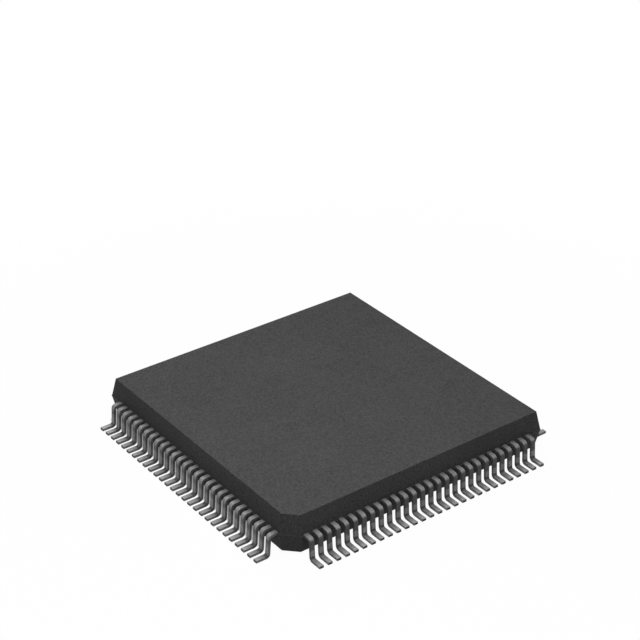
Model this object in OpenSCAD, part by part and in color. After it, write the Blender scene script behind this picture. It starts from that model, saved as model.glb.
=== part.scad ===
// Microcontroller in a quad flat package: a moulded body on four rows of gull-wing leads,
// with the die pad, the die and the bond wires that the moulding holds.
// Millimetres. +Z is up and the origin is the middle of the seating plane, on which the feet stand.
// The bevelled corner of the body, beside the first lead, points to -X and -Y.

/* [Leads] */
// Leads along each side of the body
leads_per_side = 28; // [16:1:36]
// Distance between neighbouring leads
lead_pitch = 0.65; // [0.5:0.05:0.8]
// Width of a lead, with its plating
lead_w = 0.32; // [0.2:0.01:0.4]
// Thickness of the sheet that the leads and the die pad are stamped from, with its plating
sheet_t = 0.17; // [0.1:0.01:0.2]
// Reach of a lead past the side of the body
lead_reach = 1.6; // [1.4:0.05:2]
// Length of the flat foot
foot_len = 0.75; // [0.5:0.05:1]
// Radius on the inside of each bend
bend_r = 0.1; // [0.05:0.01:0.2]
// Lean of the leg away from upright, in degrees
leg_lean = 4; // [0:1:12]

/* [Body] */
// Distance from the last lead's middle to the corner of the body
corner_margin = 1.225; // [1.15:0.025:2]
// Thickness of the moulded body
body_t = 2.7; // [2:0.1:3.6]
// Height of the underside above the seating plane
standoff = 0.15; // [0.05:0.05:0.4]
// Draft of every side, in degrees
draft = 10; // [3:1:15]
// Leg of the bevel on the corner beside the first lead, at the parting plane
corner_bevel = 0.95; // [0.4:0.05:1.05]

/* [Die and die pad] */
// Side of the square die
die_side = 6; // [4:0.25:7.5]
// Thickness of the die
die_t = 0.38; // [0.2:0.02:0.5]
// Thickness of the adhesive under the die
adhesive_t = 0.03; // [0.02:0.005:0.06]
// Width of the adhesive that shows around the die
adhesive_margin = 0.1; // [0.05:0.05:0.4]
// Width of the die pad that shows around the die
pad_margin = 0.7; // [0.5:0.05:1]
// Drop of the die pad below the leads
pad_drop = 0.22; // [0.1:0.02:0.3]
// Width of each tie bar that holds the die pad by its corner
tie_bar_w = 0.4; // [0.2:0.05:0.5]
// Length of level tie bar between the die pad's corner and the step up to the leads
tie_bar_level = 0.3; // [0.1:0.05:0.6]
// Moulding between a tie bar's end and the face of the bevel
tie_bar_cover = 0.5; // [0.2:0.1:1]
// Gap between a tie bar and the leads on both sides of it
tie_bar_gap = 0.24; // [0.15:0.01:0.3]

/* [Inner leads] */
// Gap between the die pad and the tips of the leads
tip_gap = 0.6; // [0.4:0.05:1]
// Width of a tip
tip_w = 0.16; // [0.12:0.01:0.2]
// Length of the straight tip that the wire lands on
tip_len = 0.5; // [0.3:0.05:0.8]

/* [Bond wires] */
// Thickness of a wire
wire_t = 0.03; // [0.02:0.005:0.05]
// Height of a wire's loop above the die
loop_h = 0.18; // [0.1:0.02:0.3]
// Length of the level top of the loop
loop_level = 0.4; // [0.2:0.05:0.8]
// Diameter of the ball that joins a wire to the die
ball_d = 0.075; // [0.06:0.005:0.09]
// Height of the ball
ball_h = 0.015; // [0.01:0.005:0.03]
// Distance from the die's edge to the row of bonds
bond_inset = 0.12; // [0.08:0.02:0.3]
// Distance from the last bond to the die's corner
bond_corner = 0.3; // [0.2:0.05:0.8]

/* [Hidden] */

// Turn of each side from the front, in degrees
FRONT = 0;
RIGHT = 90;
BACK = 180;
LEFT = 270;

bend_steps = 6;
ball_sides = 8;

// Plan of the package, as distances from its middle
middle = (leads_per_side - 1) / 2;
body_half = middle * lead_pitch + corner_margin;
draft_in = body_t / 2 * tan(draft);
bevel_reach = (2 * body_half - corner_bevel) / sqrt(2);
pad_half = die_side / 2 + pad_margin;
tip_line = pad_half + tip_gap;
tie_bar_strip = (tie_bar_w / 2 + tie_bar_gap) * sqrt(2);
fan_outer = middle * lead_pitch + lead_w / 2 + tie_bar_strip;
fan_inner = tip_line + tip_len;
tip_pitch = (tip_line - tie_bar_strip - tip_w / 2) / middle;
bond_line = die_side / 2 - bond_inset;
bond_pitch = (die_side / 2 - bond_corner) / middle;
landing_line = tip_line + tip_len / 2;

// Heights above the seating plane
parting_z = standoff + body_t / 2;
lead_top = parting_z + sheet_t / 2;
pad_top = lead_top - pad_drop;
adhesive_top = pad_top + adhesive_t;
die_top = adhesive_top + die_t;

// The gull wing's two bends, as [distance past the side of the body, height] of their centres
bend_mid_r = bend_r + sheet_t / 2;
heel = [lead_reach - foot_len, sheet_t / 2 + bend_mid_r];
shoulder_z = parting_z - bend_mid_r;
shoulder = [
    heel.x - 2 * bend_mid_r * cos(leg_lean)
        - (shoulder_z - heel.y + 2 * bend_mid_r * sin(leg_lean)) * tan(leg_lean),
    shoulder_z
];

function arc(centre, r, from, to) =
    [for (k = [0:bend_steps]) let (a = from + (to - from) * k / bend_steps) centre + r * [cos(a), sin(a)]];

// The side view of a lead outside the body: shoulder, leaning leg and foot
function gull_wing() = concat(
    [[0, lead_top]],
    arc(shoulder, bend_r + sheet_t, 90, leg_lean),
    arc(heel, bend_r, 180 + leg_lean, 270),
    [[lead_reach, sheet_t], [lead_reach, 0]],
    arc(heel, bend_r + sheet_t, 270, 180 + leg_lean),
    arc(shoulder, bend_r, leg_lean, 90),
    [[0, lead_top - sheet_t]]
);

// The plan of a lead inside the body: anchor, fan and tip, for a lead that is k places from the middle
function fan(k) = let (
    x = k * lead_pitch,
    tip_x = k * tip_pitch
) [
    [x - lead_w / 2, -body_half], [x + lead_w / 2, -body_half], [x + lead_w / 2, -fan_outer],
    [tip_x + tip_w / 2, -fan_inner], [tip_x + tip_w / 2, -tip_line],
    [tip_x - tip_w / 2, -tip_line], [tip_x - tip_w / 2, -fan_inner],
    [x - lead_w / 2, -fan_outer]
];

// The side view of a bond wire of a given span, from the die's top: neck, level top and slope to the lead
function wire_loop(span) = let (
    drop = die_top - lead_top,
    slope = atan2(loop_h + drop, span - loop_level),
    kink = wire_t / 2 * tan(slope / 2),
    landing = wire_t / 2 / sin(slope)
) [
    [-wire_t / 2, 0], [-wire_t / 2, loop_h + wire_t / 2], [loop_level + kink, loop_h + wire_t / 2],
    [span + landing, -drop], [span - landing, -drop],
    [loop_level - kink, loop_h - wire_t / 2], [wire_t / 2, loop_h - wire_t / 2], [wire_t / 2, 0]
];

// A plate that stands upright along -Y, drawn as [distance from the middle, height]
module upright(thickness) {
    translate([thickness / 2, 0, 0]) rotate([90, 0, -90]) linear_extrude(thickness) children();
}

module each_lead() {
    for ($k = [-middle:middle]) children();
}

module inner_lead() {
    translate([0, 0, lead_top - sheet_t]) linear_extrude(sheet_t) polygon(fan($k));
}

module outer_lead() {
    translate([$k * lead_pitch, -body_half, 0]) upright(lead_w) polygon(gull_wing());
}

module bond_wire() {
    bond = [$k * bond_pitch, -bond_line];
    run = [$k * tip_pitch, -landing_line] - bond;
    translate([bond.x, bond.y, die_top]) rotate(atan2(run.y, run.x) + 90) {
        upright(wire_t) polygon(wire_loop(norm(run)));
        cylinder(d = ball_d, h = ball_h, $fn = ball_sides);
    }
}

// A prism across the body with the draft of both mould halves, whose left flank is at a given reach
module drafted_prism(left, right) {
    length = 4 * body_half;
    translate([0, length / 2, parting_z]) rotate([90, 0, 0]) linear_extrude(length) polygon([
        [-left, 0], [draft_in - left, -body_t / 2], [right - draft_in, -body_t / 2],
        [right, 0], [right - draft_in, body_t / 2], [draft_in - left, body_t / 2]
    ]);
}

module body_outline() {
    intersection() {
        drafted_prism(body_half, body_half);
        rotate(90) drafted_prism(body_half, body_half);
        rotate(45) drafted_prism(bevel_reach, 2 * body_half);
    }
}

// A bar that leaves the die pad at its corner and steps up to the height of the leads
module tie_bar() {
    level_end = pad_half * sqrt(2) + tie_bar_level;
    step_end = level_end + pad_drop;
    bar_end = bevel_reach - tie_bar_cover;
    upright(tie_bar_w) polygon([
        [pad_half, pad_top], [level_end, pad_top], [step_end, lead_top], [bar_end, lead_top],
        [bar_end, lead_top - sheet_t], [step_end, lead_top - sheet_t],
        [level_end, pad_top - sheet_t], [pad_half, pad_top - sheet_t]
    ]);
}

module square_plate(half, bottom, thickness) {
    translate([-half, -half, bottom]) cube([2 * half, 2 * half, thickness]);
}

module moulded_body() {
    color([0.30, 0.30, 0.30]) difference() {
        body_outline();
        for (turn = [FRONT, RIGHT, BACK, LEFT]) rotate(turn) each_lead() {
            inner_lead();
            bond_wire();
        }
        die_pad();
        die_adhesive();
        silicon_die();
    }
}

module die_pad() {
    color([0.72, 0.45, 0.30]) {
        square_plate(pad_half, pad_top - sheet_t, sheet_t);
        for (turn = [45:90:315]) rotate(turn) tie_bar();
    }
}

module die_adhesive() {
    color([0.62, 0.62, 0.60]) square_plate(die_side / 2 + adhesive_margin, pad_top, adhesive_t);
}

module silicon_die() {
    color([0.28, 0.30, 0.36]) square_plate(die_side / 2, adhesive_top, die_t);
}

module leads(turn) {
    color([0.62, 0.62, 0.61]) rotate(turn) each_lead() {
        inner_lead();
        outer_lead();
    }
}

module bond_wires(turn) {
    color([0.85, 0.65, 0.25]) rotate(turn) each_lead() bond_wire();
}

moulded_body();
die_pad();
die_adhesive();
silicon_die();
leads(FRONT);  // leads_front
leads(RIGHT);  // leads_right
leads(BACK);  // leads_back
leads(LEFT);  // leads_left
bond_wires(FRONT);  // bond_wires_front
bond_wires(RIGHT);  // bond_wires_right
bond_wires(BACK);  // bond_wires_back
bond_wires(LEFT);  // bond_wires_left
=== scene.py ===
# %% [markdown]
# # A microcontroller in its package
#
# The object is a chip in a quad flat package: a square block of dark moulding compound on four rows of bent,
# tin-plated leads. Its CAD model is loaded first and stays as the frame, in metres, with the feet on z = 0.
# The body and the four rows are modelled anew here, with the soft edges and round bends that moulding and
# pressing leave. The parts sealed inside keep their CAD shapes and get finishes of their own.

# %% Load the frame and keep its box
import math

import bpy
from mathutils import Matrix, Vector


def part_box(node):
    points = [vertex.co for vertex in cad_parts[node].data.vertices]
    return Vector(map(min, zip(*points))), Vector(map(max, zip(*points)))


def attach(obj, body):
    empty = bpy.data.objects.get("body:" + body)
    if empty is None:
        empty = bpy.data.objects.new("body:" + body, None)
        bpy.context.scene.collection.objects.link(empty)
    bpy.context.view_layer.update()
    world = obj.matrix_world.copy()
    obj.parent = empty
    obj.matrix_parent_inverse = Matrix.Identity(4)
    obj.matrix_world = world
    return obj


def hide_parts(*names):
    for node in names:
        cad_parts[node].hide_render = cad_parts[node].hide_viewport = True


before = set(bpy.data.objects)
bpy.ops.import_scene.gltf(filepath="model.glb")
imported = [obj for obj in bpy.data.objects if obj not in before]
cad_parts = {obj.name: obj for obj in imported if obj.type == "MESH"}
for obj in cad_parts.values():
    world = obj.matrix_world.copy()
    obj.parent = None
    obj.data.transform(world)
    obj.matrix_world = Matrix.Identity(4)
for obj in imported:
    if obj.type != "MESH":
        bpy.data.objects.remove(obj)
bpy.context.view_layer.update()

print("CAD nodes:", ", ".join(sorted(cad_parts)))

# %% [markdown]
# ## The camera
#
# A camera could be placed by dragging it about. Here it is placed as a photographer would say it: how far
# round the object, how high, how far away and with which lens. The long lens and the modest height keep the
# edges of the package nearly parallel. The package is only 23 mm wide, so the near clipping distance has to
# be small, or the front of it would be cut away.

# %% The camera
CAMERA_AZIMUTH = math.radians(-36.802)
CAMERA_ELEVATION = math.radians(30.002)
CAMERA_ROLL = math.radians(0.052)
CAMERA_DISTANCE = 0.13016
CAMERA_TARGET = Vector((0.008608, 0.011837, 0))
CAMERA_LENS_MM = 100.51
CAMERA_SENSOR_MM = 36
NEAR_CLIP = 0.001
FAR_CLIP = 10

camera_turn = (
    Matrix.Rotation(CAMERA_AZIMUTH, 4, "Z")
    @ Matrix.Rotation(math.pi / 2 - CAMERA_ELEVATION, 4, "X")
    @ Matrix.Rotation(CAMERA_ROLL, 4, "Z")
)
bpy.ops.object.camera_add()
camera = bpy.context.object
camera.matrix_world = (
    Matrix.Translation(CAMERA_TARGET) @ camera_turn @ Matrix.Translation((0, 0, CAMERA_DISTANCE))
)
camera.data.sensor_width = CAMERA_SENSOR_MM
camera.data.lens = CAMERA_LENS_MM
camera.data.clip_start = NEAR_CLIP
camera.data.clip_end = FAR_CLIP
bpy.context.scene.camera = camera
print("camera at", [round(value, 4) for value in camera.matrix_world.translation])

# %% [markdown]
# ## Helpers for modelling by hand
#
# An operator acts on all that is selected, so every piece starts with nothing selected. Faces are then picked
# by where they are and where they point, as one would click on them. Blender's operators merge and round off
# at lengths that are too coarse for parts this small, so pieces are modelled in millimetres, a thousand times
# too large, and brought down to metres at the end.

# %% Helpers
TO_MM = 1000
TINY = 0.00001
# A face points along an axis when its normal has at least this much of that axis
FACING = 0.9


def start_afresh():
    """Leaves edit mode and deselects every object."""
    if bpy.context.object and bpy.context.object.mode == "EDIT":
        bpy.ops.object.mode_set(mode="OBJECT")
    bpy.ops.object.select_all(action="DESELECT")


def take(*pieces):
    """Selects these objects alone and makes the first one active."""
    start_afresh()
    for piece in pieces:
        piece.select_set(True)
    bpy.context.view_layer.objects.active = pieces[0]


def pick_faces(piece, wanted):
    """Goes into edit mode with only those faces selected whose middle and normal pass the test."""
    bpy.ops.object.mode_set(mode="EDIT")
    bpy.ops.mesh.select_mode(type="FACE")
    bpy.ops.mesh.select_all(action="DESELECT")
    bpy.ops.object.mode_set(mode="OBJECT")
    for face in piece.data.polygons:
        face.select = wanted(face.center, face.normal)
    bpy.ops.object.mode_set(mode="EDIT")


def close_up(piece):
    """Merges doubled points and turns every face outwards."""
    take(piece)
    bpy.ops.object.mode_set(mode="EDIT")
    bpy.ops.mesh.select_all(action="SELECT")
    bpy.ops.mesh.remove_doubles(threshold=TINY)
    bpy.ops.mesh.normals_make_consistent(inside=False)
    bpy.ops.object.mode_set(mode="OBJECT")


# %% [markdown]
# ## One lead
#
# Every lead is a strip of copper alloy, stamped from one sheet and pressed into a gull wing: a short
# shoulder level with the middle of the body, a leg that leans out by a few degrees, and a flat foot to be
# soldered. It could be drawn as a side view and thickened. It is made here as the press makes it: a flat
# strip whose end face is carried round the first bend, down the leg, round the second bend and out along the
# foot, so the sheet keeps one thickness all the way.

# %% The sizes of a lead, in millimetres
LEADS_IN_ROW = 28
LEAD_PITCH = 0.65
LEAD_WIDTH = 0.32
SHEET = 0.17
BEND_INSIDE = 0.1
BEND_MIDDLE = BEND_INSIDE + SHEET / 2
BEND_STEPS = 7
LEG_LEAN = math.radians(4)
FOOT = 0.75


def node_box(node):
    """The lowest and highest corner of a CAD node, in millimetres."""
    low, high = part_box(node)
    return low * TO_MM, high * TO_MM


tip_y = node_box("leads_front")[0].y
body_low, body_high = node_box("moulded_body")
body_half = body_high.x
parting_z = (body_low.z + body_high.z) / 2
heel_y = tip_y + FOOT
heel_z = SHEET / 2 + BEND_MIDDLE
shoulder_z = parting_z - BEND_MIDDLE
bend_offset = Vector((0, -BEND_MIDDLE * math.cos(LEG_LEAN), BEND_MIDDLE * math.sin(LEG_LEAN)))
leg_drop = shoulder_z - heel_z + 2 * bend_offset.z
leg_step = Vector((0, -leg_drop * math.tan(LEG_LEAN), -leg_drop))
shoulder_y = heel_y - 2 * bend_offset.y - leg_step.y
print("shoulder", round(-body_half - shoulder_y, 4), "mm long, leg", round(leg_step.length, 4), "mm")

# %% The strip, bent into a gull wing
start_afresh()
bpy.ops.mesh.primitive_cube_add(
    size=1,
    location=(0, (shoulder_y - body_half) / 2, parting_z),
    scale=(LEAD_WIDTH, -body_half - shoulder_y, SHEET),
)
lead = bpy.context.object
bpy.ops.object.transform_apply(location=True, rotation=True, scale=True)
pick_faces(lead, lambda middle, normal: normal.y < -FACING)
bpy.ops.mesh.spin(
    steps=BEND_STEPS, angle=LEG_LEAN - math.pi / 2, center=(0, shoulder_y, shoulder_z), axis=(1, 0, 0)
)
bpy.ops.mesh.extrude_region_move(TRANSFORM_OT_translate={"value": leg_step})
bpy.ops.mesh.spin(
    steps=BEND_STEPS, angle=math.pi / 2 - LEG_LEAN, center=(0, heel_y, heel_z), axis=(1, 0, 0)
)
bpy.ops.mesh.extrude_region_move(TRANSFORM_OT_translate={"value": (0, -FOOT, 0)})
close_up(lead)
lowest = min(point.co.z for point in lead.data.vertices)
farthest = min(point.co.y for point in lead.data.vertices)
print("foot at z", round(lowest, 5), "and tip at y", round(farthest, 5))

# %% [markdown]
# Stamping and plating leave the strip's long edges slightly round, which shows as a soft line of light. A
# Bevel modifier could round them all. The bevel operator is used instead, because the end that goes into the
# body is opened first and has to stay square, so that it can be carried on inside.

# %% Round edges
EDGE_ROUND = 0.012
CORNER_ANGLE = math.radians(60)
take(lead)
pick_faces(lead, lambda middle, normal: normal.y > FACING and middle.y > -body_half - TINY)
bpy.ops.mesh.delete(type="ONLY_FACE")
bpy.ops.mesh.select_mode(type="EDGE")
bpy.ops.mesh.select_all(action="DESELECT")
bpy.ops.mesh.edges_select_sharp(sharpness=CORNER_ANGLE)
bpy.ops.mesh.bevel(offset=EDGE_ROUND, segments=2, profile=0.5, affect="EDGES", clamp_overlap=False)
bpy.ops.object.mode_set(mode="OBJECT")
print("one lead has", len(lead.data.polygons), "faces")

# %% [markdown]
# ## A row of leads
#
# Inside the body each strip runs straight to an anchor and then fans in towards the die, where it narrows
# to a tip for the bond wire. An Array modifier would repeat one lead, but every lead fans by another amount.
# So the outer strip is copied first, and each copy's open end is then carried on to its own tip and closed.

# %% The inner end of a lead
FAN_INNER = 4.8
TIP_LINE = 4.3
TIP_WIDTH = 0.16
TIE_BAR_STRIP = 0.6223
row_middle = (LEADS_IN_ROW - 1) / 2
fan_outer = row_middle * LEAD_PITCH + LEAD_WIDTH / 2 + TIE_BAR_STRIP
tip_pitch = (TIP_LINE - TIE_BAR_STRIP - TIP_WIDTH / 2) / row_middle


def pick_edges(piece, wanted):
    """Goes into edit mode with only those edges selected whose two ends pass the test."""
    bpy.ops.object.mode_set(mode="EDIT")
    bpy.ops.mesh.select_mode(type="EDGE")
    bpy.ops.mesh.select_all(action="DESELECT")
    bpy.ops.object.mode_set(mode="OBJECT")
    points = piece.data.vertices
    for edge in piece.data.edges:
        start, end = edge.vertices
        edge.select = wanted(points[start].co, points[end].co)
    bpy.ops.object.mode_set(mode="EDIT")


def carry_end_in(step):
    """Carries the open end of a lead on by a step."""
    bpy.ops.mesh.extrude_region_move(TRANSFORM_OT_translate={"value": step})


def lead_at(place):
    """A copy of the lead, so many places from the middle of the row, with its inner end."""
    take(lead)
    bpy.ops.object.duplicate(linked=False)
    copy = bpy.context.object
    copy.location.x = place * LEAD_PITCH
    bpy.ops.object.transform_apply(location=True, rotation=True, scale=True)
    at_body = -body_half - TINY
    pick_edges(copy, lambda start, end: start.y > at_body and end.y > at_body)
    tip_x = place * tip_pitch
    carry_end_in((0, body_half - fan_outer, 0))
    carry_end_in((tip_x - place * LEAD_PITCH, fan_outer - FAN_INNER, 0))
    bpy.ops.transform.resize(
        value=(TIP_WIDTH / LEAD_WIDTH, 1, 1), center_override=(tip_x, -FAN_INNER, parting_z)
    )
    carry_end_in((0, FAN_INNER - TIP_LINE, 0))
    bpy.ops.mesh.edge_face_add()
    bpy.ops.object.mode_set(mode="OBJECT")
    return copy


print("the leads are", LEAD_PITCH, "mm apart outside and", round(tip_pitch, 4), "mm at their tips")

# %% A row of leads
row = [lead_at(number - row_middle) for number in range(LEADS_IN_ROW)]
take(*row)
bpy.ops.object.join()
front_row = bpy.context.object
front_row.name = "lead_row_front"
bpy.data.objects.remove(lead)
close_up(front_row)
print("the front row has", len(front_row.data.polygons), "faces")

# %% [markdown]
# The four rows are alike, so none of the others needs modelling. Linked copies would be lighter, but each row
# is to have its place in a mesh of its own, so the finished row is copied with its mesh, turned by quarter
# turns, and each turn is applied.

# %% Four rows
rows = {"front": front_row}
for turns, side in enumerate(("right", "back", "left"), start=1):
    take(front_row)
    bpy.ops.object.duplicate(linked=False)
    rows[side] = bpy.context.object
    rows[side].name = "lead_row_" + side
    rows[side].rotation_euler.z = turns * math.pi / 2
    bpy.ops.object.transform_apply(location=True, rotation=True, scale=True)
for piece in rows.values():
    low = piece.bound_box[0]
    high = piece.bound_box[6]
    print(piece.name, [round(v, 3) for v in low], [round(v, 3) for v in high])

# %% [markdown]
# ## The body
#
# The body is moulded in one shot of silica-filled epoxy between two halves of a mould. Each half has draft,
# so that the block comes out: it is widest at the parting plane, level with the leads, and leans in by ten
# degrees above and below. One corner is bevelled to show where the first lead is. The outline could be drawn
# and extruded up and down. A block is simpler: it is added at full size, cut at the parting plane and drawn
# in at its top and bottom, and two slanting cuts take the corner off.

# %% A block with two drafted halves
DRAFT = math.radians(10)
body_t = body_high.z - body_low.z
top_half = body_half - body_t / 2 * math.tan(DRAFT)
start_afresh()
bpy.ops.mesh.primitive_cube_add(
    size=1, location=(0, 0, parting_z), scale=(2 * body_half, 2 * body_half, body_t)
)
body = bpy.context.object
body.name = "body"
bpy.ops.object.transform_apply(location=True, rotation=True, scale=True)
bpy.ops.object.mode_set(mode="EDIT")
bpy.ops.mesh.select_all(action="SELECT")
bpy.ops.mesh.bisect(plane_co=(0, 0, parting_z), plane_no=(0, 0, 1), threshold=TINY)
pick_faces(body, lambda middle, normal: abs(normal.z) > FACING)
bpy.ops.transform.resize(
    value=(top_half / body_half, top_half / body_half, 1), center_override=(0, 0, parting_z)
)
print("top face", round(2 * top_half, 3), "mm across")

# %% The bevelled corner
CORNER_BEVEL = 0.95
corner = -body_half + CORNER_BEVEL / 2
sideways = -math.cos(DRAFT) / math.sqrt(2)
for half in (1, -1):
    bpy.ops.mesh.select_all(action="SELECT")
    bpy.ops.mesh.bisect(
        plane_co=(corner, corner, parting_z),
        plane_no=(sideways, sideways, half * math.sin(DRAFT)),
        use_fill=True,
        clear_outer=True,
        threshold=TINY,
    )
close_up(body)
print("the body has", len(body.data.polygons), "faces before its edges are rounded")

# %% [markdown]
# A mould cavity is never perfectly sharp, and the filled epoxy wears at its edges, so every edge gets a small
# radius. Where the two mould halves meet, a little epoxy creeps into the joint and leaves a fine ridge, which
# is seen best on the bevelled corner. A bump in the material could fake it. It is made as a real step here,
# which shows in the outline too: the parting edge is bevelled into a narrow band, and the band is raised.

# %% Round edges and the parting ridge
BODY_EDGE = 0.025
RIDGE_HALF = 0.03
RIDGE_PROUD = 0.025
UPRIGHT = 0.1


def at_parting(point, reach=TINY):
    """Whether a point is level with the parting plane."""
    return abs(point.z - parting_z) < reach


take(body)
pick_edges(body, lambda start, end: not (at_parting(start) and at_parting(end)))
bpy.ops.mesh.bevel(offset=BODY_EDGE, segments=3, profile=0.5, affect="EDGES", clamp_overlap=False)
pick_edges(body, lambda start, end: at_parting(start) and at_parting(end))
bpy.ops.mesh.bevel(offset=RIDGE_HALF, segments=1, affect="EDGES", clamp_overlap=False)
pick_faces(body, lambda middle, normal: at_parting(middle, RIDGE_HALF / 2) and abs(normal.z) < UPRIGHT)
bpy.ops.mesh.extrude_region_shrink_fatten(TRANSFORM_OT_shrink_fatten={"value": RIDGE_PROUD})
close_up(body)
print("widest at", round(max(point.co.x for point in body.data.vertices), 4), "mm from the middle")

# %% [markdown]
# The epoxy flows round everything that it seals in, so the body is hollow exactly where the leads, the die
# pad, the die and the wires are. The hollows could be left out, since nobody sees them, but then the pieces
# would share their space with the epoxy. A Boolean modifier takes each of them out of the block. The CAD
# nodes are loose triangles, so a copy of each is merged into one skin before it is used as a cutter.

# %% The hollows in the body
SEALED_IN = [
    "die_pad", "die_adhesive", "silicon_die",
    "bond_wires_front", "bond_wires_right", "bond_wires_back", "bond_wires_left",
]


def merged_copy(node):
    """A copy of a CAD node in millimetres, with its loose triangles joined up."""
    copy = bpy.data.objects.new("cutter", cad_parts[node].data.copy())
    bpy.context.scene.collection.objects.link(copy)
    take(copy)
    copy.scale = (TO_MM, TO_MM, TO_MM)
    bpy.ops.object.transform_apply(location=True, rotation=True, scale=True)
    bpy.ops.object.mode_set(mode="EDIT")
    bpy.ops.mesh.select_all(action="SELECT")
    bpy.ops.mesh.remove_doubles(threshold=TINY)
    bpy.ops.object.mode_set(mode="OBJECT")
    return copy


def cut_out(cutter):
    """Takes a cutter's shape out of the body."""
    take(body)
    bpy.ops.object.modifier_add(type="BOOLEAN")
    hollow = body.modifiers[-1]
    hollow.operation = "DIFFERENCE"
    hollow.solver = "MANIFOLD"
    hollow.object = cutter
    bpy.ops.object.modifier_apply(modifier=hollow.name)


for piece in rows.values():
    cut_out(piece)
for node in SEALED_IN:
    cutter = merged_copy(node)
    cut_out(cutter)
    bpy.data.objects.remove(cutter)
print("the hollow body has", len(body.data.polygons), "faces")

# %% [markdown]
# The flat faces have to stay flat to the eye and the small radii round. Shading everything smooth would make
# the flat faces look swollen. So the sharp edges are selected and marked, which keeps them crisp, and
# weighted normals give the large flat faces the say where they meet a radius. Then the pieces come down to
# metres.

# %% Shading and true size
BODY_SHARP = math.radians(35)
LEAD_SHARP = math.radians(50)


def shade_round(piece, sharp_angle):
    """Shades gentle edges as round, with the flat faces kept flat."""
    take(piece)
    bpy.ops.object.shade_smooth()
    bpy.ops.object.mode_set(mode="EDIT")
    bpy.ops.mesh.select_mode(type="EDGE")
    bpy.ops.mesh.select_all(action="DESELECT")
    bpy.ops.mesh.edges_select_sharp(sharpness=sharp_angle)
    bpy.ops.mesh.mark_sharp()
    bpy.ops.object.mode_set(mode="OBJECT")
    bpy.ops.object.modifier_add(type="WEIGHTED_NORMAL")
    weighting = piece.modifiers[-1]
    weighting.keep_sharp = True
    bpy.ops.object.modifier_apply(modifier=weighting.name)


def bring_to_metres(piece):
    """Shrinks a piece from millimetres to metres, so that its object sits at the origin, unscaled."""
    take(piece)
    piece.scale = (1 / TO_MM, 1 / TO_MM, 1 / TO_MM)
    bpy.ops.object.transform_apply(location=True, rotation=True, scale=True)


shade_round(body, BODY_SHARP)
for piece in rows.values():
    shade_round(piece, LEAD_SHARP)
for piece in (body, *rows.values()):
    bring_to_metres(piece)
    print(piece.name, [round(v, 5) for v in piece.dimensions])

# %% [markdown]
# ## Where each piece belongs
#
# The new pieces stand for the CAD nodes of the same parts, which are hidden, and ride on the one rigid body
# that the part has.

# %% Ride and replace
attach(body, "root")
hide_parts("moulded_body")
for side, piece in rows.items():
    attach(piece, "root")
    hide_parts("leads_" + side)
print("pieces:", body.name, *(piece.name for piece in rows.values()))

# %% [markdown]
# ## Shared effects
#
# Two effects come back in several finishes. Speckle is a mix of a fine grain and a broad mottle, as of a
# filled resin. Drawn lines are streaks along one direction, as rolling and pressing leave. They could be
# built again in each material. Each is a node group instead, built once, that takes coordinates and gives
# values between 0 and 1.

# %% Helpers for node groups
def new_group(name, inputs, outputs):
    """An empty node group with inputs of given kinds and outputs that are values."""
    group = bpy.data.node_groups.new(name, "ShaderNodeTree")
    for socket, kind in inputs:
        group.interface.new_socket(socket, in_out="INPUT", socket_type=kind)
    for socket in outputs:
        group.interface.new_socket(socket, in_out="OUTPUT", socket_type="NodeSocketFloat")
    start = group.nodes.new("NodeGroupInput")
    end = group.nodes.new("NodeGroupOutput")
    return group, start, end


def noise(tree, vector, scale, detail, roughness):
    """A noise texture on a vector, at a scale that a socket gives."""
    node = tree.nodes.new("ShaderNodeTexNoise")
    node.inputs["Detail"].default_value = detail
    node.inputs["Roughness"].default_value = roughness
    tree.links.new(vector, node.inputs["Vector"])
    tree.links.new(scale, node.inputs["Scale"])
    return node.outputs["Fac"]


def spread(tree, value, low, high, to_low=0.0, to_high=1.0):
    """Stretches the range from low to high over another range, and holds it there."""
    node = tree.nodes.new("ShaderNodeMapRange")
    node.inputs["From Min"].default_value = low
    node.inputs["From Max"].default_value = high
    node.inputs["To Min"].default_value = to_low
    node.inputs["To Max"].default_value = to_high
    tree.links.new(value, node.inputs["Value"])
    return node.outputs["Result"]


# %% Speckle and drawn lines
# A noise texture seldom leaves the range between these two values
NOISE_LOW = 0.3
NOISE_HIGH = 0.7

speckle, start, end = new_group(
    "speckle",
    [
        ("Vector", "NodeSocketVector"),
        ("Grain per metre", "NodeSocketFloat"),
        ("Mottle per metre", "NodeSocketFloat"),
    ],
    ["Grain", "Mottle"],
)
given = start.outputs
grain = noise(speckle, given["Vector"], given["Grain per metre"], detail=3.0, roughness=0.6)
mottle = noise(speckle, given["Vector"], given["Mottle per metre"], detail=3.0, roughness=0.55)
speckle.links.new(spread(speckle, grain, NOISE_LOW, NOISE_HIGH), end.inputs["Grain"])
speckle.links.new(spread(speckle, mottle, NOISE_LOW, NOISE_HIGH), end.inputs["Mottle"])

drawn_lines, start, end = new_group(
    "drawn_lines",
    [("Vector", "NodeSocketVector"), ("Lines per metre", "NodeSocketFloat")],
    ["Lines"],
)
given = start.outputs
streaks = noise(drawn_lines, given["Vector"], given["Lines per metre"], detail=2.0, roughness=0.6)
drawn_lines.links.new(spread(drawn_lines, streaks, NOISE_LOW, NOISE_HIGH), end.inputs["Lines"])
print("node groups:", speckle.name, drawn_lines.name)

# %% [markdown]
# ## Helpers for finishes
#
# A finish is a material: a Principled BSDF shader, and nodes that work out its colour and roughness from
# where a point is on the piece. Each helper places one node, or a few that belong together, and gives back
# the socket that holds the result. A finish can then be read line by line, like a sum.

# %% Values and colours
def sums(tree, operation, first, second=None):
    """A Math node on one or two values, each a number or a socket."""
    node = tree.nodes.new("ShaderNodeMath")
    node.operation = operation
    for place, value in enumerate((first, second)):
        if value is None:
            continue
        if isinstance(value, (int, float)):
            node.inputs[place].default_value = value
        else:
            tree.links.new(value, node.inputs[place])
    return node.outputs["Value"]


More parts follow.
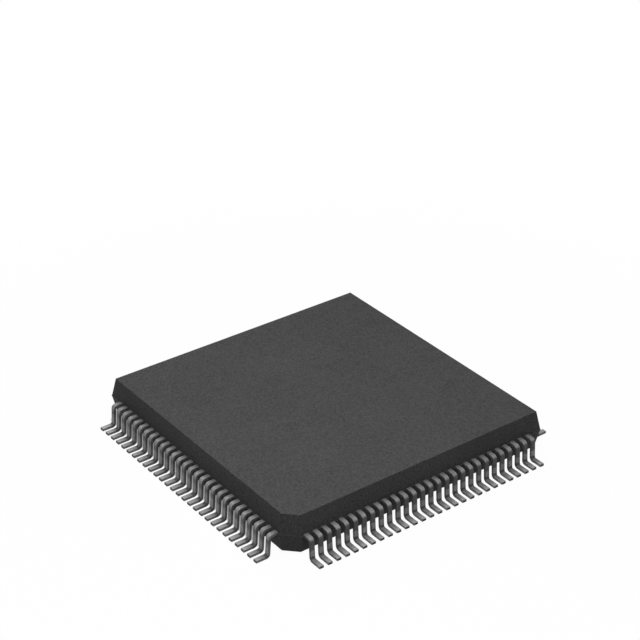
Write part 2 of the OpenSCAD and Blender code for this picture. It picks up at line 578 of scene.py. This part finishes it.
def weighed(tree, *parts):
    """The sum of several values, each times its weight."""
    total = 0.0
    for weight, value in parts:
        total = sums(tree, "ADD", total, sums(tree, "MULTIPLY", value, weight))
    return total


def split(tree, place):
    """The X, Y and Z of a place."""
    node = tree.nodes.new("ShaderNodeSeparateXYZ")
    tree.links.new(place, node.inputs["Vector"])
    return [node.outputs[axis] for axis in "XYZ"]


def fade(tree, length, start, end, before=0.0, after=1.0):
    """Goes from one value to another as a length goes from start to end, both in millimetres."""
    return spread(tree, length, start / TO_MM, end / TO_MM, before, after)


def blend_colours(tree, share, dark, light):
    """Mixes two colours, each a colour or a socket, by a share between 0 and 1."""
    node = tree.nodes.new("ShaderNodeMix")
    node.data_type = "RGBA"
    tree.links.new(share, node.inputs["Factor"])
    for socket, colour in zip(("A", "B"), (dark, light)):
        place = next(s for s in node.inputs if s.name == socket and s.type == "RGBA")
        if isinstance(colour, tuple):
            place.default_value = (*colour, 1)
        else:
            tree.links.new(colour, place)
    return next(s for s in node.outputs if s.type == "RGBA")


# %% Materials
def new_finish(name):
    """A material with a Principled BSDF, and its object coordinates."""
    finish = bpy.data.materials.new(name)
    finish.use_nodes = True
    tree = finish.node_tree
    shader = tree.nodes["Principled BSDF"]
    place = tree.nodes.new("ShaderNodeTexCoord").outputs["Object"]
    return finish, tree, shader, place


def use_group(tree, group, vector, **values):
    """Places a node group in a material, with its own values."""
    node = tree.nodes.new("ShaderNodeGroup")
    node.node_tree = group
    tree.links.new(vector, node.inputs["Vector"])
    for socket, value in values.items():
        node.inputs[socket.replace("_", " ").capitalize()].default_value = value
    return node.outputs


def paint(tree, shader, colour, shade, rough_at_0, rough_at_1):
    """Feeds the shader a colour, and a roughness that follows a shade between 0 and 1."""
    tree.links.new(colour, shader.inputs["Base Color"])
    tree.links.new(spread(tree, shade, 0, 1, rough_at_0, rough_at_1), shader.inputs["Roughness"])


def bump(tree, shader, height, distance, strength):
    """A Bump node that feeds the shader's normal."""
    node = tree.nodes.new("ShaderNodeBump")
    node.inputs["Distance"].default_value = distance
    node.inputs["Strength"].default_value = strength
    tree.links.new(height, node.inputs["Height"])
    tree.links.new(node.outputs["Normal"], shader.inputs["Normal"])


# %% [markdown]
# ## The mould compound
#
# The body is epoxy filled with ground silica and a little soot: a dark grey, quite matt, with a fine grain
# from the spark-eroded mould. A picture of such a surface could be wrapped round it, but a pattern that is
# worked out from the coordinates has no seams. Two close greys are mixed by the grain and by a broad mottle,
# and the same grain lifts the surface a little and makes it more and less rough. Along the parting plane the
# ridge stands proud, and it is painted a little paler: a painted highlight for the light that the ridge
# catches.

# %% Finish: mould compound
DARK_EPOXY = (0.032, 0.032, 0.032)
PALE_EPOXY = (0.082, 0.082, 0.082)
# The paler colour on the parting ridge is a painted highlight
PAINTED_HIGHLIGHT_EPOXY = (0.1, 0.1, 0.1)
RIDGE_HIGHLIGHT_SHARE = 0.4
RIDGE_HIGHLIGHT_EDGE = RIDGE_HALF + 0.004

mould_compound, tree, shader, place = new_finish("mould_compound")
grains = use_group(tree, speckle, place, Grain_per_metre=10000, Mottle_per_metre=300)
shade = weighed(tree, (0.88, grains["Grain"]), (0.12, grains["Mottle"]))
colour = blend_colours(tree, shade, DARK_EPOXY, PALE_EPOXY)
height = split(tree, place)[2]
off_parting = sums(tree, "ABSOLUTE", sums(tree, "SUBTRACT", height, parting_z / TO_MM))
# A painted highlight along the parting ridge
ridge_highlight = fade(tree, off_parting, RIDGE_HIGHLIGHT_EDGE, RIDGE_HALF, after=RIDGE_HIGHLIGHT_SHARE)
colour = blend_colours(tree, ridge_highlight, colour, PAINTED_HIGHLIGHT_EPOXY)
paint(tree, shader, colour, shade, 0.74, 0.6)
shader.inputs["Specular IOR Level"].default_value = 0.1
bump(tree, shader, grains["Grain"], distance=0.000012, strength=0.7)
print("mould compound:", len(tree.nodes), "nodes")

# %% [markdown]
# ## The tin plate
#
# The leads are plated with matt tin, which is grey and soft to the eye, with faint lines along the strip
# from rolling and pressing. Each lead differs a little from the next. Every lead could have a material of its
# own, but one finish is enough for all of them if it can tell where on a lead a point is. The coordinates say
# so: on the front and back rows the strip's width runs along X, and on the other two along Y.

# %% Where on a lead
def three(tree, x, y, z):
    """Three values as a vector."""
    node = tree.nodes.new("ShaderNodeCombineXYZ")
    for socket, value in zip("XYZ", (x, y, z)):
        if isinstance(value, (int, float)):
            node.inputs[socket].default_value = value
        else:
            tree.links.new(value, node.inputs[socket])
    return node.outputs["Vector"]


def lead_place(tree, place):
    """Where on a lead a point is, in metres, which pair of rows it is on, and a key for each lead."""
    x, y, height = split(tree, place)
    far_x = sums(tree, "ABSOLUTE", x)
    far_y = sums(tree, "ABSOLUTE", y)
    outwards = sums(tree, "MAXIMUM", far_x, far_y)
    front_or_back = sums(tree, "GREATER_THAN", far_y, far_x)
    choice = tree.nodes.new("ShaderNodeMix")
    tree.links.new(front_or_back, choice.inputs["Factor"])
    tree.links.new(y, choice.inputs["A"])
    tree.links.new(x, choice.inputs["B"])
    along_row = choice.outputs["Result"]
    pitch = LEAD_PITCH / TO_MM
    number = sums(tree, "FLOOR", sums(tree, "DIVIDE", along_row, pitch))
    lead_middle = sums(tree, "MULTIPLY", sums(tree, "ADD", number, 0.5), pitch)
    off_middle = sums(tree, "ABSOLUTE", sums(tree, "SUBTRACT", along_row, lead_middle))
    which_side = sums(tree, "SIGN", sums(tree, "ADD", x, y))
    which_row = sums(tree, "ADD", front_or_back, sums(tree, "MULTIPLY", which_side, 2))
    return along_row, outwards, height, off_middle, front_or_back, three(tree, number, which_row, 0)


# %% Finish: tin plate, its tone
DARK_TIN = (0.22, 0.22, 0.218)
PALE_TIN = (0.38, 0.38, 0.377)
DRAWN_OUT = 0.06

tin_plate, tree, shader, place = new_finish("tinned_lead")
along_row, outwards, height, off_middle, front_or_back, lead_key = lead_place(tree, place)
drawn_out = three(
    tree,
    along_row,
    sums(tree, "MULTIPLY", outwards, DRAWN_OUT),
    sums(tree, "MULTIPLY", height, DRAWN_OUT),
)
lines = use_group(tree, drawn_lines, drawn_out, Lines_per_metre=16000)["Lines"]
grains = use_group(tree, speckle, place, Grain_per_metre=11000, Mottle_per_metre=2600)
chance = tree.nodes.new("ShaderNodeTexWhiteNoise")
tree.links.new(lead_key, chance.inputs["Vector"])
tone = weighed(tree, (0.25, chance.outputs["Value"]), (0.4, lines), (0.35, grains["Mottle"]))
plate = blend_colours(tree, tone, DARK_TIN, PALE_TIN)
print("tone of the tin plate:", len(tree.nodes), "nodes")

# %% [markdown]
# The plate is darkened and lightened in places: painted shade and painted light for how light falls on the
# leads. They could be painted on by hand, but then all 112 leads would have to be painted. Masks that follow
# the height on a lead and the distance from the package's middle put the same marks on all of them. Each
# pair of opposite rows has marks of its own strength. The upper leg is darkened with painted shade, most of
# all on the front and back rows. On the left and right rows the lower leg is lightened with painted light.

# %% Finish: tin plate, marks on the leg
# Colours for the painted shade on the upper leg and the painted light on the lower leg
PAINTED_SHADE_TIN = (0.09, 0.09, 0.092)
PAINTED_LIGHT_TIN = (0.52, 0.52, 0.515)
RAGGED = 0.2
SHORTER = 0.2


def by_rows(tree, left_and_right, front_and_back):
    """One value on the left and right rows, and another one on the front and back rows."""
    return spread(tree, front_or_back, 0, 1, left_and_right, front_and_back)


def wear_and_painted_light(tree, colour, worn_colour, share, *masks):
    """Blends a colour into another one by a share, where all the masks are 1."""
    for mask in masks:
        share = sums(tree, "MULTIPLY", share, mask)
    return blend_colours(tree, share, colour, worn_colour)


# Masks for the painted shade on the upper leg, strongest on the front and back rows
ragged = sums(tree, "ADD", height, sums(tree, "MULTIPLY", grains["Mottle"], RAGGED / TO_MM))
shorter = by_rows(tree, SHORTER / TO_MM, 0)
below_bend = fade(tree, sums(tree, "ADD", height, shorter), 1.5, 1.41)
above_middle = fade(tree, sums(tree, "SUBTRACT", ragged, shorter), 0.78, 0.94)
upper_leg_shade_share = by_rows(tree, 0.58, 0.9)
plate = wear_and_painted_light(tree, plate, PAINTED_SHADE_TIN, upper_leg_shade_share, below_bend, above_middle)

# Painted light on the lower leg of the left and right rows
below_middle = fade(tree, ragged, 0.94, 0.78)
above_heel = fade(tree, height, 0.2, 0.28)
lower_leg_light_share = by_rows(tree, 0.62, 0)
plate = wear_and_painted_light(tree, plate, PAINTED_LIGHT_TIN, lower_leg_light_share, below_middle, above_heel)
print("with the marks on the leg:", len(tree.nodes), "nodes")

# %% [markdown]
# At the heel the strip is creased, and the crease is darkened with painted shade. Towards its end the foot
# is lightened with painted light, which shows on the front and back rows. Between the two, nearer the leg,
# the foot is darkened with painted shade.

# %% Finish: tin plate, marks on the foot
# Colours for the painted shade and the painted light on the foot
PAINTED_SHADE_CREASE = (0.06, 0.06, 0.06)
CREASE_SHADE_SHARE = 0.8
PAINTED_LIGHT_FOOT_TIN = (0.55, 0.55, 0.545)
# A dark tin for painted shade on the foot and the shoulder, and for the tarnish at the cut tip
TARNISH_AND_PAINTED_SHADE_TIN = (0.1, 0.1, 0.1)
CREASE_HIGHER = 0.12

# Painted shade in the crease at the heel
higher = by_rows(tree, 0, CREASE_HIGHER / TO_MM)
near_foot = fade(tree, sums(tree, "SUBTRACT", height, higher), 0.28, 0.2)
near_leg = fade(tree, sums(tree, "ADD", outwards, higher), 11.0, 10.88)
plate = wear_and_painted_light(tree, plate, PAINTED_SHADE_CREASE, CREASE_SHADE_SHARE, near_foot, near_leg)

# Painted light towards the end of the foot, mostly on the front and back rows
near_tip = fade(tree, outwards, 11.1, 11.45)
foot_light_share = by_rows(tree, 0.04, 0.65)
plate = wear_and_painted_light(tree, plate, PAINTED_LIGHT_FOOT_TIN, foot_light_share, near_tip)

# Painted shade on the foot nearer the leg
on_foot = fade(tree, height, 0.2, 0.18)
off_tip = fade(tree, outwards, 11.4, 11.0)
foot_shade_share = by_rows(tree, 0.16, 0.26)
plate = wear_and_painted_light(tree, plate, TARNISH_AND_PAINTED_SHADE_TIN, foot_shade_share, on_foot, off_tip)
print("with the marks on the foot:", len(tree.nodes), "nodes")

# %% [markdown]
# The shoulder is darkened with painted shade, which shows on the left and right rows. The sides of the strip
# are darkened with painted shade, for the shade between neighbouring leads, a little more so higher up. Where
# the shoulder leaves the body it is darkened with painted shade.

# %% Finish: tin plate, its shoulder and its sides
# Colours for the painted shade on the sides and where the shoulder meets the body
PAINTED_SHADE_SIDE = (0.07, 0.07, 0.07)
PAINTED_SHADE_ROOT = (0.08, 0.08, 0.08)
ROOT_SHADE_SHARE = 0.66

# Painted shade on the shoulder of the left and right rows
on_shoulder = fade(tree, height, 1.555, 1.58)
shoulder_shade_share = by_rows(tree, 0.25, 0)
plate = wear_and_painted_light(tree, plate, TARNISH_AND_PAINTED_SHADE_TIN, shoulder_shade_share, on_shoulder)

# Painted shade on the sides of the strip, a little more so higher up
at_side = fade(tree, off_middle, 0.146, 0.156)
side_shade_share = fade(tree, height, 0.2, 0.5, before=0.55, after=0.62)
plate = wear_and_painted_light(tree, plate, PAINTED_SHADE_SIDE, side_shade_share, at_side)

# Painted shade where the shoulder leaves the body
near_body = fade(tree, outwards, 10.36, 10.04)
plate = wear_and_painted_light(tree, plate, PAINTED_SHADE_ROOT, ROOT_SHADE_SHARE, near_body)
print("with the shoulder and the sides:", len(tree.nodes), "nodes")

# %% [markdown]
# The tip is cut off last, after plating. The cut smears a rim of tin over its edges, and its middle is bare
# metal that has gone dark. Matt tin scatters light so widely that it looks more like grey paint than like a
# mirror, so the shader is only a little metallic.

# %% Finish: tin plate, its tip and its gloss
EDGE_SHARE = 0.6
BARE_CUT = (0.03, 0.028, 0.026)

at_edge = fade(tree, outwards, 11.54, 11.6)
plate = wear_and_painted_light(tree, plate, TARNISH_AND_PAINTED_SHADE_TIN, EDGE_SHARE, at_edge)

at_tip = fade(tree, outwards, 11.585, 11.592)
off_level = sums(tree, "ABSOLUTE", sums(tree, "SUBTRACT", height, SHEET / 2 / TO_MM))
inside_rim_across = fade(tree, off_middle, 0.14, 0.1)
inside_rim_upright = fade(tree, off_level, 0.075, 0.045)
plate = wear_and_painted_light(tree, plate, BARE_CUT, at_tip, inside_rim_across, inside_rim_upright)

paint(tree, shader, plate, tone, 0.56, 0.42)
shader.inputs["Metallic"].default_value = 0.2
shader.inputs["Specular IOR Level"].default_value = 0.05
bump(tree, shader, sums(tree, "ADD", lines, grains["Grain"]), distance=0.000004, strength=0.35)
print("tin plate:", len(tree.nodes), "nodes")

# %% [markdown]
# ## Finishes inside the package
#
# Nobody sees these unless the moulding is hidden or cut open, and then they should look right. Plain colours
# would do for a hidden part, but each one has a grain that the shared effects give for little work. The die
# pad comes first. It is bare rolled copper alloy, with lines along the way that it went through the rolls.

# %% Finish: copper sheet
def stretched(tree, vector, scale):
    """Coordinates scaled along each axis, so that a noise on them is drawn out."""
    node = tree.nodes.new("ShaderNodeMapping")
    node.inputs["Scale"].default_value = scale
    tree.links.new(vector, node.inputs["Vector"])
    return node.outputs["Vector"]


ROLLED_ALONG_Y = (1, 0.05, 0.3)
DARK_COPPER = (0.50, 0.235, 0.135)
PALE_COPPER = (0.70, 0.365, 0.225)

copper_sheet, tree, shader, place = new_finish("copper_sheet")
rolled = stretched(tree, place, ROLLED_ALONG_Y)
lines = use_group(tree, drawn_lines, rolled, Lines_per_metre=9000)["Lines"]
grains = use_group(tree, speckle, place, Grain_per_metre=6000, Mottle_per_metre=500)
shade = weighed(tree, (0.5, lines), (0.5, grains["Mottle"]))
paint(tree, shader, blend_colours(tree, shade, DARK_COPPER, PALE_COPPER), shade, 0.5, 0.32)
shader.inputs["Metallic"].default_value = 0.9
bump(tree, shader, lines, distance=0.000003, strength=0.3)
print("copper sheet:", len(tree.nodes), "nodes")

# %% [markdown]
# The die is bonded to its pad with epoxy that is filled with silver flakes. The flakes show as a fine pale
# grain, and where they lie bare the surface is smoother.

# %% Finish: silver adhesive
DARK_SILVER = (0.32, 0.32, 0.31)
PALE_SILVER = (0.58, 0.58, 0.57)

silver_adhesive, tree, shader, place = new_finish("silver_adhesive")
grains = use_group(tree, speckle, place, Grain_per_metre=20000, Mottle_per_metre=1500)
shade = weighed(tree, (0.7, grains["Grain"]), (0.3, grains["Mottle"]))
paint(tree, shader, blend_colours(tree, shade, DARK_SILVER, PALE_SILVER), shade, 0.7, 0.4)
shader.inputs["Metallic"].default_value = 0.3
bump(tree, shader, grains["Grain"], distance=0.000004, strength=0.4)
print("silver adhesive:", len(tree.nodes), "nodes")

# %% [markdown]
# The die is polished silicon with its circuit in faint blocks. The circuit itself is far too fine to draw, so
# a brick pattern in close blue greys stands for its blocks, with a mottle over it.

# %% Finish: silicon
BLOCKS_PER_METRE = 900
SEAM_WIDTH = 0.03
BLOCK_COLOURS = {
    "Color1": (0.085, 0.095, 0.13, 1),
    "Color2": (0.125, 0.12, 0.16, 1),
    "Mortar": (0.07, 0.08, 0.12, 1),
}
MOTTLED_SILICON = (0.10, 0.13, 0.19)
MOTTLED_SHARE = 0.4

silicon, tree, shader, place = new_finish("silicon")
blocks = tree.nodes.new("ShaderNodeTexBrick")
blocks.inputs["Scale"].default_value = BLOCKS_PER_METRE
blocks.inputs["Mortar Size"].default_value = SEAM_WIDTH
for socket, block_colour in BLOCK_COLOURS.items():
    blocks.inputs[socket].default_value = block_colour
tree.links.new(place, blocks.inputs["Vector"])
grains = use_group(tree, speckle, place, Grain_per_metre=30000, Mottle_per_metre=700)
mottled = sums(tree, "MULTIPLY", grains["Mottle"], MOTTLED_SHARE)
colour = blend_colours(tree, mottled, blocks.outputs["Color"], MOTTLED_SILICON)
paint(tree, shader, colour, grains["Grain"], 0.16, 0.26)
shader.inputs["Metallic"].default_value = 0.25
print("silicon:", len(tree.nodes), "nodes")

# %% [markdown]
# The wires are gold, drawn through ever finer holes until they are thinner than a hair. At that size lines
# along the wire can't be seen, so a fine speckle is enough.

# %% Finish: gold wire
DARK_GOLD = (0.72, 0.47, 0.14)
PALE_GOLD = (0.88, 0.63, 0.24)

gold_wire, tree, shader, place = new_finish("gold_wire")
grains = use_group(tree, speckle, place, Grain_per_metre=40000, Mottle_per_metre=3000)
shade = weighed(tree, (0.4, grains["Grain"]), (0.6, grains["Mottle"]))
paint(tree, shader, blend_colours(tree, shade, DARK_GOLD, PALE_GOLD), shade, 0.34, 0.2)
shader.inputs["Metallic"].default_value = 1.0
print("gold wire:", len(tree.nodes), "nodes")

# %% [markdown]
# The new pieces get their finish as their only material. The CAD nodes keep their meshes, so there the finish
# goes into the material slots that they already have.

# %% Give every piece its finish
finish_of = {"die_pad": copper_sheet, "die_adhesive": silver_adhesive, "silicon_die": silicon}


def put_on(piece, finish):
    """Makes a finish the only material of a piece."""
    piece.data.materials.clear()
    piece.data.materials.append(finish)


put_on(body, mould_compound)
for piece in rows.values():
    put_on(piece, tin_plate)
for node in SEALED_IN:
    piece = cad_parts[node]
    for slot in piece.material_slots:
        slot.material = finish_of.get(node, gold_wire)
    print(node, [slot.material.name for slot in piece.material_slots])

# %% [markdown]
# ## Studio
#
# The package stands on a plain white ground. Strong light all round would make the ground white, but it would
# also bleach the object. So the world is white only where the camera, a reflection or glass sees it, and
# gives nearly no light of its own. The lamps alone light the object, at a plain level.

# %% World
WORLD_LIGHT = (0.01, 0.01, 0.01)
WHITE = (1.0, 1.0, 1.0)


def seen_white(tree):
    """1 for rays from the camera, a reflection or glass, and 0 for those that only carry light."""
    path = tree.nodes.new("ShaderNodeLightPath")
    seen = sums(tree, "MAXIMUM", path.outputs["Is Camera Ray"], path.outputs["Is Glossy Ray"])
    return sums(tree, "MAXIMUM", seen, path.outputs["Is Transmission Ray"])


world = bpy.data.worlds.new("studio")
bpy.context.scene.world = world
world.use_nodes = True
tree = world.node_tree
backdrop = blend_colours(tree, seen_white(tree), WORLD_LIGHT, WHITE)
tree.links.new(backdrop, tree.nodes["Background"].inputs["Color"])
print("the world gives light of", WORLD_LIGHT, "and is seen as", WHITE)

# %% [markdown]
# The floor is a sheet of pale paper. It is white in the same way as the world, but near the package a small
# share of it is lit paper, so that it keeps the shadow. Under the left row a soft band is painted shade:
# there most of the floor is lit paper in shade, so the narrow slots between the legs come out grey. The
# band's end is slanted, roughly along the line of sight through the slots. From below, the sheet is clear.

# %% Floor: the sheet and its painted band of shade
FLOOR_SIZE = 6
FLOOR_GAP = 0.00002
LEFT_LEGS = 10.9
SHADED_SHARE = 0.25

start_afresh()
bpy.ops.mesh.primitive_plane_add(size=FLOOR_SIZE, location=(0, 0, -FLOOR_GAP))
floor = bpy.context.object
floor.name = "floor"
bpy.ops.object.transform_apply(location=True, rotation=True, scale=True)
paper = bpy.data.materials.new("pale_paper")
paper.use_nodes = True
tree = paper.node_tree
tree.nodes.remove(tree.nodes["Principled BSDF"])
place = tree.nodes.new("ShaderNodeTexCoord").outputs["Object"]


def band(tree, length, start, full, still_full, end):
    """1 along a band with soft edges, given in millimetres, and 0 outside it."""
    return sums(tree, "MULTIPLY", fade(tree, length, start, full), fade(tree, length, end, still_full))


x, y = split(tree, place)[:2]
# A painted band of shade under the left row only
under_left = band(tree, x, -10.65, -10.45, -9.3, -9.1)
slanted = sums(tree, "SUBTRACT", y, sums(tree, "ADD", x, LEFT_LEGS / TO_MM))
along_left = band(tree, slanted, -8.8, -7.4, 9.05, 9.2)
shaded = sums(tree, "MULTIPLY", under_left, along_left)
unshaded_share = spread(tree, shaded, 0, 1, 1.0, SHADED_SHARE)
print("floor at z", -FLOOR_GAP, "with a band of shade under the left row")

# %% Floor: its paper
LIT_PAPER = (0.6, 0.6, 0.6)
SEEN_PAPER = (0.96, 0.96, 0.96)
WHITE_NEARBY = 0.97

distance = tree.nodes.new("ShaderNodeVectorMath")
distance.operation = "LENGTH"
tree.links.new(place, distance.inputs[0])
share = fade(tree, distance.outputs["Value"], 14, 40, before=WHITE_NEARBY)
seen = seen_white(tree)
white_share = sums(tree, "MULTIPLY", seen, sums(tree, "MULTIPLY", share, unshaded_share))


def mixed(tree, share, first, second):
    """Mixes two shaders by a share."""
    node = tree.nodes.new("ShaderNodeMixShader")
    tree.links.new(share, node.inputs["Fac"])
    tree.links.new(first, node.inputs[1])
    tree.links.new(second, node.inputs[2])
    return node.outputs["Shader"]


lit = tree.nodes.new("ShaderNodeBsdfDiffuse")
tree.links.new(blend_colours(tree, seen, LIT_PAPER, SEEN_PAPER), lit.inputs["Color"])
white = tree.nodes.new("ShaderNodeEmission")
from_above = mixed(tree, white_share, lit.outputs["BSDF"], white.outputs["Emission"])
clear = tree.nodes.new("ShaderNodeBsdfTransparent")
seen_from_below = tree.nodes.new("ShaderNodeNewGeometry").outputs["Backfacing"]
one_sided = mixed(tree, seen_from_below, from_above, clear.outputs["BSDF"])
tree.links.new(one_sided, tree.nodes["Material Output"].inputs["Surface"])
floor.data.materials.append(paper)
print("floor:", len(tree.nodes), "nodes")

# %% [markdown]
# Three soft lamps light the package. A small one, less than twice as wide as the package, hangs close above
# the bevelled corner, so the top is a little brighter there. A large one far behind, to the right, lights the
# top and leaves the two near sides dark. A weak one stands low in front and fills the front side. A sun would
# be simpler, but its hard shadows would fall across the leads.

# %% Lamps
def softbox(name, place, size, power):
    """A square area lamp that points at the object."""
    start_afresh()
    bpy.ops.object.light_add(type="AREA", location=place)
    lamp = bpy.context.object
    lamp.name = name
    lamp.rotation_euler = (-Vector(place)).to_track_quat("-Z", "Y").to_euler()
    lamp.data.shape = "SQUARE"
    lamp.data.size = size
    lamp.data.energy = power
    lamp.visible_camera = False
    print(name, "at", place, "with", power, "W")


softbox("overhead", place=(-0.012, -0.012, 0.045), size=0.04, power=0.0165)
softbox("back", place=(0.15, 0.5, 0.4), size=0.3, power=1.77)
softbox("front", place=(0, -0.6, 0.1), size=0.3, power=0.23)

# %% [markdown]
# ## Finish
#
# The colours are shown with the Standard view transform, and nothing is left selected.
# The visual model has to keep to the CAD model's box.

# %% Finish
bpy.context.scene.view_settings.view_transform = "Standard"
start_afresh()
